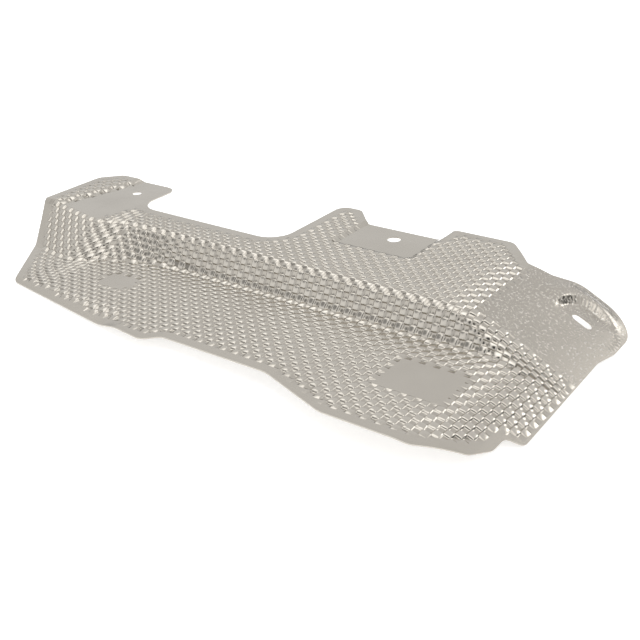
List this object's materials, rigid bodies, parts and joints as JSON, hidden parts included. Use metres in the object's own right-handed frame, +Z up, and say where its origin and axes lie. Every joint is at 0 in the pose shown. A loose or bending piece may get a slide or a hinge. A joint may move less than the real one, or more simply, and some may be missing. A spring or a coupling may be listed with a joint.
{
  "type": "heat shield",
  "caption": "Pressed sheet of embossed aluminium with a stepped web, plain tabs with round holes and a slotted ear, bolted between a hot pipe and its neighbours.",
  "frame": {"origin": "centre of the round hole in the middle tab, at half the sheet's thickness", "axes": "+X along the shield towards the falling end flange, +Y to the rear edge with the tabs, +Z up, out of the embossed face"},
  "size_m": [0.3995, 0.196, 0.0361],
  "materials": {
    "sheet": "satin"
  },
  "bodies": {
    "root": {"shield_panel": "sheet"}
  },
  "joints": []
}
